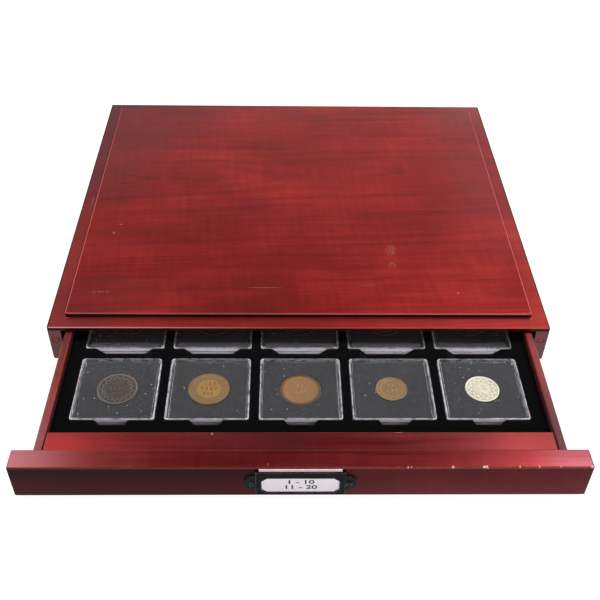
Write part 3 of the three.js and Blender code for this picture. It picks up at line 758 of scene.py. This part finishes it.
def plug_disc(node):
    """A round plug with a slightly domed face, standing in the front end of a side."""
    low, high, middle, radius = round_box(node)
    bm = bmesh.new()
    rings = [(radius, high.y - low.y), (radius, 0.3 * MM), (radius - 0.12 * MM, 0.08 * MM),
             (radius * 0.8, -0.04 * MM), (radius * 0.4, -0.09 * MM)]
    stack(bm, Vector(), turned(rings), 32)
    bmesh.ops.rotate(bm, matrix=Matrix.Rotation(-math.pi / 2, 3, "X"), verts=bm.verts)
    bmesh.ops.translate(bm, vec=Vector((middle.x, low.y, middle.z)), verts=bm.verts)
    return bm


def felt_disc(node):
    """A round pad with soft edges."""
    low, high, middle, radius = round_box(node)
    inward, inset = 0.3 * MM, 0.25 * MM
    rings = [(radius - inward, low.z), (radius, low.z + inset), (radius, high.z - inset),
             (radius - inward, high.z)]
    bm = bmesh.new()
    stack(bm, middle, turned(rings), 36)
    return bm


# Capsules and coins

FOAM_TOP = 4.5  # heights above a capsule's foot and thicknesses, in millimetres
COIN_THICKNESS = 1.6
COIN_SEAT_GAP = 0.15
FIELD_DEPTH = 0.15  # how far a coin's field lies below its rim
FIGURE_ROOT = 0.02  # how far beads, leaves and figures reach into the field


def ring_stack(middle, foot, rings):
    """A closed square shell from loops of half width, corner radius and height, in millimetres."""
    bm = bmesh.new()
    stack(bm, middle, [(half * MM, radius * MM, foot + z * MM) for half, radius, z in rings], 4)
    return bm


def capsule_base(middle, foot):
    """The lower half: a dish whose rim carries a tongue for the lid."""
    return ring_stack(middle, foot, [
        (24.55, 1.55, 0), (24.85, 1.85, 0.12), (25, 2, 0.45), (25, 2, 2.85), (24.85, 1.85, 3.05),
        (24.0, 1.0, 3.05), (24.0, 1.0, 3.65), (23.85, 0.85, 3.85),
        (23.35, 0.5, 3.85), (23.2, 0.4, 3.65), (23.2, 0.4, 1.4), (23.0, 0.3, 1.1),
    ])


def capsule_lid(middle, foot):
    """The upper half: a window plate in a rim, rebated for the base's tongue."""
    return ring_stack(middle, foot, [
        (24.5, 1.6, 6.25), (24.82, 1.85, 6.15), (25, 2, 5.85), (25, 2, 3.4), (24.85, 1.85, 3.2),
        (24.15, 1.15, 3.2), (24.15, 1.15, 3.85), (24.0, 1.0, 4.0),
        (23.35, 0.5, 4.0), (23.2, 0.4, 4.2), (23.2, 0.4, 4.9), (22.9, 0.3, 5.15),
    ])


def foam_block(middle, foot, hole_radius, seat_z):
    """A foam insert, a little longer than wide, with a round seat whose rim is softly rounded."""
    lengthened = Vector((1, 1.03, 1))
    bm = bmesh.new()
    sizes = ((22.2, 0.5, 1.25), (22.35, 0.6, 1.45), (22.35, 0.6, FOAM_TOP - 0.2), (22.2, 0.5, FOAM_TOP))
    outer = [(half * MM, radius * MM, foot + z * MM) for half, radius, z in sizes]
    _, top = stack(bm, middle, outer, 4, end_cap=False)
    bmesh.ops.scale(bm, vec=lengthened, space=Matrix.Translation(-middle), verts=bm.verts)
    rings = [(hole_radius + 0.3, FOAM_TOP), (hole_radius + 0.1, FOAM_TOP - 0.08),
             (hole_radius, FOAM_TOP - 0.3), (hole_radius, seat_z)]
    hole = turned([(radius * MM, foot + z * MM) for radius, z in rings])
    mouth, _ = stack(bm, middle, hole, 72, start_cap=False)
    bmesh.ops.triangle_fill(bm, edges=top + mouth, use_beauty=True, use_dissolve=False)
    return bm


def leaf(bm, radius, angle, lean, length, width, z, height, middle):
    """A small pointed leaf, raised from the field."""
    made = bmesh.ops.create_cone(bm, cap_ends=True, segments=6, radius1=1, radius2=0.45, depth=1)["verts"]
    shape = Matrix.Diagonal((length / 2, width / 2, height, 1))
    turn = Matrix.Rotation(angle + lean, 4, "Z")
    away = Vector((math.cos(angle) * radius, math.sin(angle) * radius, 0))
    move = Matrix.Translation(Vector((middle.x, middle.y, z + height / 2)) + away)
    bmesh.ops.transform(bm, matrix=move @ turn @ shape, verts=made)


def bead(bm, radius, angle, size, z, height, middle):
    """A small stud, raised from the field."""
    made = bmesh.ops.create_cone(bm, cap_ends=True, segments=6, radius1=size / 2, radius2=size / 4,
                                 depth=height)["verts"]
    away = Vector((math.cos(angle) * radius, math.sin(angle) * radius, z + height / 2))
    bmesh.ops.translate(bm, vec=Vector((middle.x, middle.y, 0)) + away, verts=made)


def line_ring(bm, radius, width, z, height, middle):
    """A thin raised circle, closed below."""
    rings = [(radius - width / 2, z), (radius - width / 4, z + height), (radius + width / 4, z + height),
             (radius + width / 2, z), (radius - width / 2, z)]
    stack(bm, middle, turned(rings), 72, start_cap=False, end_cap=False)


def struck_coin(middle, top, design):
    """A coin: raised rim, beads, leaves along a ring, and plain figures in the middle."""
    radius = design["diameter"] / 2 * MM
    sunk = FIELD_DEPTH * MM
    low = top - COIN_THICKNESS * MM
    rim = design["rim"] * MM
    inner = radius * design["inner"]
    rings = [(radius - 1.1 * MM, low + sunk), (radius - 0.9 * MM, low), (radius - 0.12 * MM, low),
             (radius, low + 0.12 * MM), (radius, top - 0.12 * MM), (radius - 0.12 * MM, top),
             (radius - rim, top), (radius - rim - 0.2 * MM, top - sunk), (inner, top - sunk)]
    bm = bmesh.new()
    stack(bm, middle, turned(rings), 96)
    field = top - sunk - FIGURE_ROOT * MM
    rise = design["rise"] * MM
    beads = design["beads"]
    for number in range(beads):
        bead(bm, radius - rim - 0.5 * MM, 2 * math.pi * number / beads, 0.5 * MM, field, rise, middle)
    if design["ring"]:
        line_ring(bm, inner, 0.35 * MM, field, rise, middle)
    vine = (inner + radius - 1.6 * MM) / 2 if design["ring"] else radius * 0.72
    if design["vine"]:
        line_ring(bm, vine, 0.28 * MM, field, rise * 0.8, middle)
    leaves = design["leaves"]
    length = design["leaf"] * MM
    for number in range(leaves):
        angle = 2 * math.pi * number / leaves + design["turn"]
        side = 1 if number % 2 else -1
        lean = math.pi / 2 + side * 0.6
        leaf(bm, vine + side * 0.7 * MM, angle, lean, length, length / 2, field, rise, middle)
    turn = Matrix.Rotation(design["turn"], 4, "Z")
    for words, size, lift in design["figures"]:
        mesh = text_mesh(words, size * MM, rise * 1.6, 0.05 * MM)
        place = Matrix.Translation(Vector((middle.x, middle.y, field + rise * 0.4)))
        add_mesh(bm, mesh, place @ turn @ Matrix.Translation((0, lift * MM, 0)))
    return bm


# Each coin: sizes in millimetres, "inner" and "zone" as shares of its radius, "turn" in radians, and its
# figures with their size and how far above the middle they stand. "recess" is how far it lies below the foam.
COINS = [
    {"slot": "dark_bronze", "diameter": 24.7, "seat": 25.1, "recess": -0.5, "rim": 0.75, "inner": 0.6,
     "zone": (0, 0.6), "beads": 84, "ring": True, "vine": True, "leaves": 34, "leaf": 2.0, "turn": 0.05,
     "rise": 0.16, "figures": [("1 2 3", 3.3, 4.1), ("4 5 6 7", 3.6, 0.2), ("8 9 0", 2.9, -3.8)]},
    {"slot": "gold_bronze", "diameter": 25.7, "seat": 26.1, "recess": -0.5, "rim": 0.75, "inner": 0.6,
     "zone": (0.6, 0.94), "beads": 84, "ring": True, "vine": True, "leaves": 38, "leaf": 2.6, "turn": -0.1,
     "rise": 0.14, "figures": [("1 2 3", 3.4, 4.2), ("4 5 6 7", 3.7, 0.2), ("8 9 0", 3.0, -3.9)]},
    {"slot": "brown_bronze", "diameter": 25.6, "seat": 26.0, "recess": 0.2, "rim": 1.7, "inner": 0.6,
     "zone": (0.84, 1.0), "beads": 0, "ring": False, "vine": False, "leaves": 22, "leaf": 1.8, "turn": 0.1,
     "rise": 0.12, "figures": [("1 2", 3.6, 3.2), ("3 4 5", 3.6, -2.4)]},
    {"slot": "light_bronze", "diameter": 19.5, "seat": 19.9, "recess": -0.5, "rim": 0.6, "inner": 0.5,
     "zone": (0.9, 1.0), "beads": 60, "ring": False, "vine": True, "leaves": 24, "leaf": 2.0, "turn": 0.1,
     "rise": 0.14, "figures": [("1 2", 3.2, 2.6), ("3 4 5", 3.2, -1.8)]},
    {"slot": "silver", "diameter": 21.0, "seat": 21.4, "recess": -0.5, "rim": 0.7, "inner": 0.52,
     "zone": (0, 0.52), "beads": 66, "ring": False, "vine": True, "leaves": 26, "leaf": 2.6, "turn": -0.15,
     "rise": 0.16, "figures": [("10", 6.0, 1.6), ("2 3 4", 2.6, -3.6)]},
]
# row two holds only dark bronze coins, put there as painted shade for the case top's shadow
BACK_ROWS = [1, 1, 1, 1, 1, 4, 5, 2, 4, 3, 3, 2, 5, 2, 4]  # the coins of rows two to four, by number
# the back rows' weaker glints are painted shade
BACK_GLEAM = 0.45  # how bright their capsules' edges show beside the front row's


def fill_capsule(name, box, design, base_body, lid_body, nodes, gleam=1.0):
    """The four pieces of one capsule: base, lid, and the foam insert and coin that ride with the base."""
    low, high = box
    foot = low.z
    middle = (low + high) / 2
    middle.z = 0
    shells = (("base", capsule_base, base_body, nodes[0]), ("lid", capsule_lid, lid_body, nodes[1]))
    for part, shape, body, node in shells:
        shell = finish_piece(f"{name}_{part}", shape(middle, foot), body, "clear", node,
                             marking=partial(shell_mark, middle=middle, gleam=gleam))
        shell.visible_shadow = False
    coin_top = FOAM_TOP - design["recess"]
    foam = foam_block(middle, foot, design["seat"] / 2, coin_top - COIN_THICKNESS - COIN_SEAT_GAP)
    finish_piece(name + "_foam", foam, base_body, "foam", nodes[2])
    coin = struck_coin(middle, foot + coin_top * MM, design)
    near, far = [share * design["diameter"] / 2 * MM for share in design["zone"]]
    finish_piece(name + "_coin", coin, base_body, design["slot"], nodes[3], sharp=50,
                 marking=partial(zone_mark, middle=middle, near=near, far=far))


# Label holder

def screw_head(node):
    """A domed screw with a cross recess, its axis along Y."""
    low, high, middle, radius = round_box(node)
    head, shank, recess = 1.1 * MM, 0.7 * MM, 0.5 * MM
    length = high.y - low.y
    bm = bmesh.new()
    rings = [(0.62 * MM, 0), (shank, 0.4 * MM), (shank, length - head), (radius, length - head),
             (radius, length - 0.75 * MM), (radius * 0.88, length - 0.35 * MM),
             (radius * 0.68, length - 0.1 * MM), (radius * 0.5, length)]
    _, rim = stack(bm, Vector(), turned(rings), 12, end_cap=False)
    verts = sorted({v for e in rim for v in e.verts}, key=lambda v: math.atan2(v.co.y, v.co.x))
    bmesh.ops.scale(bm, vec=Vector((0.45, 0.45, 1)), verts=verts[::3])
    cross = grow(bm, rim, Vector(), *turned([(radius * 0.5, length), (radius * 0.45, length - recess)]))
    bmesh.ops.contextual_create(bm, geom=cross)
    bmesh.ops.rotate(bm, matrix=Matrix.Rotation(math.pi / 2, 3, "X"), verts=bm.verts)
    bmesh.ops.translate(bm, vec=Vector((middle.x, high.y, middle.z)), verts=bm.verts)
    return bm


def label_numbers():
    """Plain numbers printed on the label card, in two lines of wide figures."""
    size, thickness, swell, wide = 4.9 * MM, 0.02 * MM, 0.1 * MM, 1.35
    low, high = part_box("label_card")
    bm = bmesh.new()
    turn = Matrix.Rotation(math.pi / 2, 4, "X") @ Matrix.Diagonal((wide, 1, 1, 1))
    for words, lift in (("1 - 10", 9.6), ("11 - 20", 4.9)):
        mesh = text_mesh(words, size, thickness, 0, swell)
        place = Vector(((low.x + high.x) / 2, low.y - 0.012 * MM, low.z + lift * MM))
        add_mesh(bm, mesh, Matrix.Translation(place) @ turn)
    return bm


# Stage: floor, world, lamps and camera

def floor():
    """A wide white floor, bright where it is seen, that keeps the object's shadow."""
    size, gap = 6, 0.1 * MM
    bm = bmesh.new()
    bmesh.ops.create_grid(bm, x_segments=1, y_segments=1, size=size)
    bmesh.ops.translate(bm, vec=Vector((0, 0, -gap)), verts=bm.verts)
    mesh = bpy.data.meshes.new("studio_floor")
    bm.to_mesh(mesh)
    bm.free()
    dull = {"Roughness": 1.0, "Specular IOR Level": 0.0}
    glow = {"Emission Color": (1, 1, 1, 1), "Emission Strength": 0.9}
    finish = Finish("floor_paper", {"Base Color": tone("c4c4c4"), **dull})
    seen = finish.node("ShaderNodeBsdfPrincipled", inputs={"Base Color": tone("929292"), **dull, **glow})
    finish.mix_in(finish.direct_rays(), seen)
    mesh.materials.append(finish.material)
    piece = bpy.data.objects.new("studio_floor", mesh)
    bpy.context.scene.collection.objects.link(piece)


def sky():
    """Soft even light all round: white where the camera sees it, and dark overhead in reflections."""
    world = bpy.data.worlds.new("studio_sky")
    bpy.context.scene.world = world
    world.use_nodes = True
    nodes = Nodes(world.node_tree)
    aim = nodes.node("ShaderNodeTexCoord", output="Generated")
    height = nodes.node("ShaderNodeSeparateXYZ", inputs={0: aim}, output="Z")
    seen = nodes.node("ShaderNodeLightPath", output="Is Camera Ray")
    level = nodes.ease(height, 0.74, 0.54) * 0.88 + 0.12
    near = nodes.node("ShaderNodeBackground", inputs={"Color": (1, 1, 1, 1), "Strength": level.most(seen)})
    soft = nodes.node("ShaderNodeBackground", inputs={"Color": (1, 0.99, 0.98, 1), "Strength": 0.38})
    nodes.show(nodes.direct_rays(), soft, near, "World Output")


def lamp(name, place, aim, watts, width, height):
    """A softbox that is aimed at a point."""
    light = bpy.data.lights.new(name, "AREA")
    light.shape = "RECTANGLE"
    light.size = width
    light.size_y = height
    light.energy = watts
    holder = bpy.data.objects.new(name, light)
    bpy.context.scene.collection.objects.link(holder)
    turn = (Vector(aim) - Vector(place)).to_track_quat("-Z", "Y")
    holder.matrix_world = Matrix.Translation(place) @ turn.to_matrix().to_4x4()


def camera():
    """The photograph's own view: place, three angles and lens."""
    pitch, yaw, roll = 0.73261, 0.026005, 0.01977
    forward = Vector((math.sin(yaw) * math.cos(pitch), math.cos(yaw) * math.cos(pitch), -math.sin(pitch)))
    right = Vector((math.cos(yaw), -math.sin(yaw), 0))
    up = right.cross(forward)
    across = math.cos(roll) * right + math.sin(roll) * up
    upward = math.cos(roll) * up - math.sin(roll) * right
    data = bpy.data.cameras.new("view")
    data.sensor_width = 36
    data.lens = 51.8893
    data.clip_start = 0.01
    holder = bpy.data.objects.new("view", data)
    bpy.context.scene.collection.objects.link(holder)
    place = (-0.0106986, CASE_FRONT - 0.4032651, 0.4173846)
    turn = Matrix((across, upward, -forward)).transposed().to_4x4()
    holder.matrix_world = Matrix.Translation(place) @ turn
    bpy.context.scene.camera = holder


def build_case():
    finish_piece("top_board", top_board(), "case", "top", ["case_top"])
    for side in ("left", "right"):
        node = "case_side_" + side
        finish_piece(side + "_side_board", eased_copy(node, 0.5 * MM), "case", "case_y", [node])
        node = "plug_" + side
        finish_piece(side + "_end_plug", plug_disc(node), "case", "plug", [node])
        node = "drawer_guide_" + side
        finish_piece(side + "_guide_strip", eased_copy(node, 0.3 * MM), "case", "panel", [node])
    for name, node, radius, finish, slot in (
            ("back_board", "case_back", 0.4 * MM, "case_x", "case_wood"),
            ("base_panel", "case_bottom", 0.3 * MM, "panel", "panel_wood"),
            ("stop_block", "drawer_stop", 0.3 * MM, "panel", "panel_wood")):
        finish_piece(name, eased_board(node, radius), "case", finish, [node])
    for number in range(1, 5):
        node = f"foot_pad_{number}"
        finish_piece(f"felt_pad_{number}", felt_disc(node), "case", "felt", [node])


def build_drawer():
    for name, node, radius, segments, finish, slot in (
            ("front_board", "drawer_front", 1.0 * MM, 4, "front", "front_wood"),
            ("inner_rail", "drawer_rail", 0.7 * MM, 3, "rail", "drawer_wood"),
            ("drawer_back_board", "drawer_back", 0.7 * MM, 3, "rail", "drawer_wood")):
        finish_piece(name, eased_board(node, radius, segments), "drawer", finish, [node])
    for side in ("left", "right"):
        node = "drawer_side_" + side
        finish_piece(side + "_drawer_wall", eased_copy(node, 0.25 * MM, angle=40), "drawer", "drawer_y",
                     [node])
    finish_piece("drawer_panel", eased_board("drawer_bottom", 0.2 * MM), "drawer", "panel",
                 ["drawer_bottom"])
    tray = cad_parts["tray"]
    tray.data.materials.clear()
    tray.data.materials.append(finishes["flock"].material)


def build_label():
    finish_piece("label_holder", eased_copy("label_frame", 0.12 * MM), "drawer", "metal",
                 ["label_frame"])
    for side in ("left", "right"):
        node = "label_screw_" + side
        finish_piece(side + "_label_screw", screw_head(node), "drawer", "screw", [node])
    finish_piece("name_card", eased_board("label_card", 0.1 * MM), "card", "card", ["label_card"])
    finish_piece("card_numbers", label_numbers(), "card", "ink")


def build_capsules():
    for number, design in enumerate(COINS, 1):
        nodes = [[f"{part}_{number}"] for part in ("capsule_base", "capsule_lid", "foam_insert", "coin")]
        fill_capsule(f"front_capsule_{number}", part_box(f"capsule_base_{number}"), design,
                     f"capsule_{number}", f"lid_{number}", nodes)
    for place, kind in enumerate(BACK_ROWS):
        row, column = place // 5 + 2, place % 5 + 1
        node = f"capsule_row{row}_{column}"
        fill_capsule(f"row{row}_capsule_{column}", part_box(node), COINS[kind - 1], "drawer", "drawer",
                     [[node]] * 4, BACK_GLEAM)


finishes = {
    "top": stained_wood("figured_top_wood", "5a1010", "821a18", "a62a22", figured=True, marks=top_marks,
                        streaky=0.12),
    "case_x": stained_wood("case_wood_across", "380d0e", "571514", "742220"),
    "case_y": stained_wood("case_wood_lengthways", "380d0e", "571514", "742220", grain="Y", marks=side_marks),
    "front": stained_wood("drawer_front_wood", "401011", "60181a", "7c2524", marks=front_marks, gloss=0.05),
    "rail": stained_wood("drawer_wood_across", "401011", "60181a", "7c2524", marks=rail_marks),
    "drawer_y": stained_wood("drawer_wood_lengthways", "421616", "6c2826", "8a3c38", grain="Y", rough=0.38,
                             wear=0.15, marks=drawer_side_marks),
    "plug": stained_wood("plug_end_wood", "5d1f1c", "8f3a34", "ad5148", grain="Y", wear=0.3),
    "panel": panel_finish(),
    "flock": flock_finish(),
    "felt": felt_finish(),
    "foam": foam_finish(),
    "clear": clear_finish(),
    "metal": black_metal_finish("black_metal", "060608", "111113", "2c2c2f"),
    "screw": black_metal_finish("black_screw_metal", "050506", "0e0e10", "0a0a0b"),
    "card": card_finish(),
    "ink": ink_finish(),
    "dark_bronze": coin_finish("dark_bronze", "231c1b", "6a635a", "352c29", "362b28", COINS[0]),
    "gold_bronze": coin_finish("gold_bronze", "8f6c36", "4a3e2e", "80602f", "665234", COINS[1]),
    "brown_bronze": coin_finish("brown_bronze", "7a5639", "8e6e4c", "745832", "352b26", COINS[2]),
    "light_bronze": coin_finish("light_bronze", "5c472d", "86704e", "6c5236", "5e4a30", COINS[3]),
    "silver": coin_finish("worn_silver", "878371", "b0ac98", "6e6b5d", "8f8b79", COINS[4], 0.6, 0.4),
}

camera()
build_case()
build_drawer()
build_label()
build_capsules()
floor()
sky()
for name, place, aim, watts, width, height in (
        ("left_softbox", (-0.62, CASE_FRONT + 0.45, 0.96), (0, CASE_FRONT, 0), 6.2, 0.3, 0.26),
        ("right_softbox", (0.56, CASE_FRONT + 0.467, 0.96), (0, CASE_FRONT, 0), 8.5, 0.34, 0.26),
        ("front_fill", (0.35, CASE_FRONT - 1.163, 0.55), (0, CASE_FRONT - 0.113, 0), 6.2, 0.9, 0.5)):
    lamp(name, place, aim, watts, width, height)
bpy.context.scene.view_settings.view_transform = "Standard"
